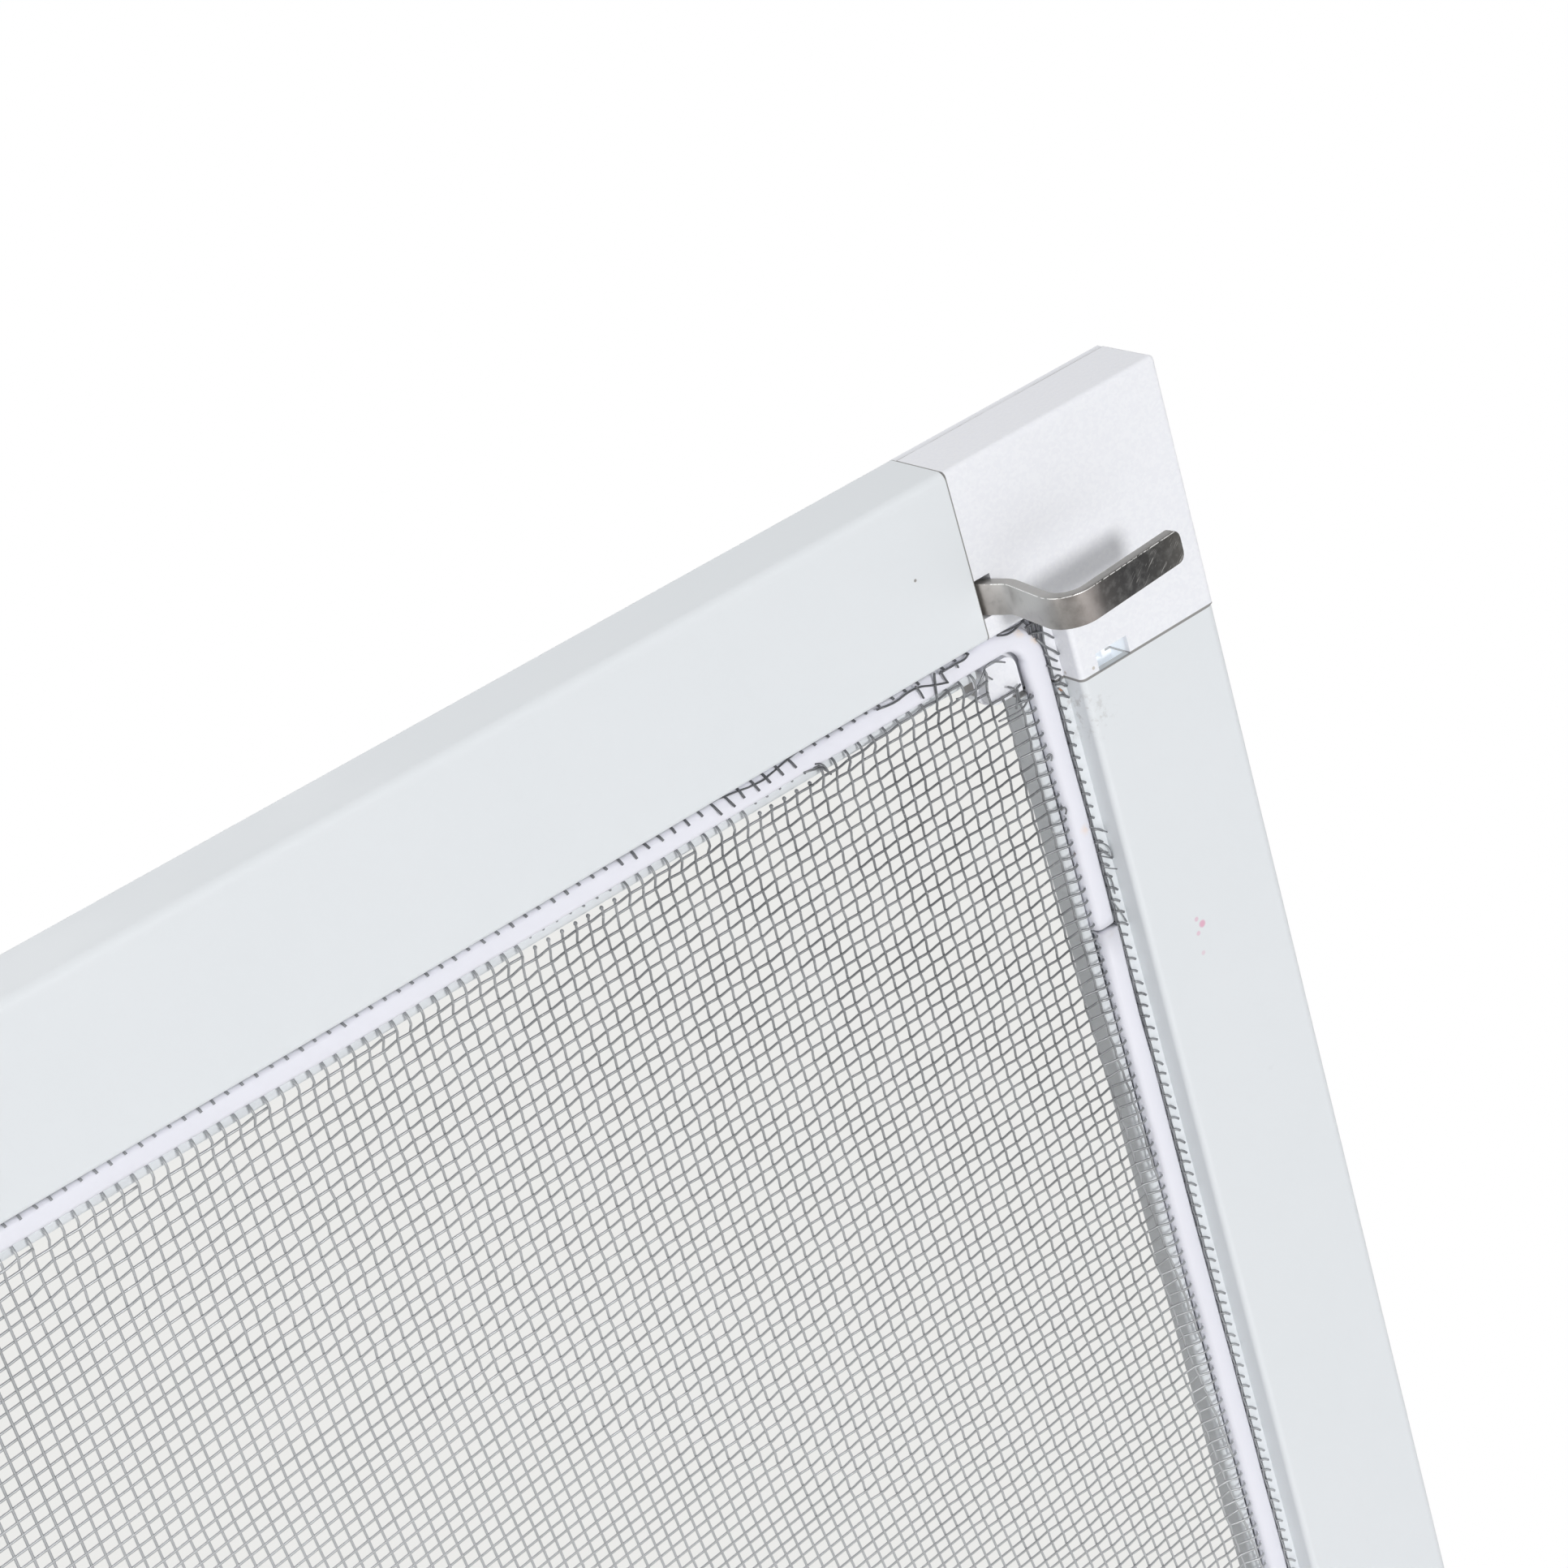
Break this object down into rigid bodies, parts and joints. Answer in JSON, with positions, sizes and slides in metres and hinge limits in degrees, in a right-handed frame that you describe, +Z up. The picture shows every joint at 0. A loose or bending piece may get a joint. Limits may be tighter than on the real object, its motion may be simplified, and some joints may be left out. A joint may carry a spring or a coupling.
{
  "type": "window insect screen",
  "caption": "White framed window insect screen with moulded corners, woven wire mesh held by a spline, and four bent steel strip hooks.",
  "frame": {"origin": "centre of the whole screen's box, hooks included", "axes": "+X along the top rail, +Z up the side rails, +Y through the thickness towards the back; the spline and the hooks are on the -Y side"},
  "size_m": [0.5, 0.0214, 0.6],
  "materials": {
    "powder_coat": "white powder coat, satin",
    "corner_plastic": "white moulded plastic, finely sparkly",
    "spline_pvc": "soft white PVC, satin",
    "hook_steel": "scratched stainless strip",
    "wire": "grey coated wire"
  },
  "bodies": {
    "root": {"top_rail": "powder_coat", "bottom_rail": "powder_coat", "left_rail": "powder_coat", "right_rail": "powder_coat", "corner_top_right": "corner_plastic", "corner_top_left": "corner_plastic", "corner_bottom_right": "corner_plastic", "corner_bottom_left": "corner_plastic", "hook_top_right": "hook_steel", "hook_top_left": "hook_steel", "hook_bottom_right": "hook_steel", "hook_bottom_left": "hook_steel", "spline": "spline_pvc", "mesh": "wire"}
  },
  "joints": []
}
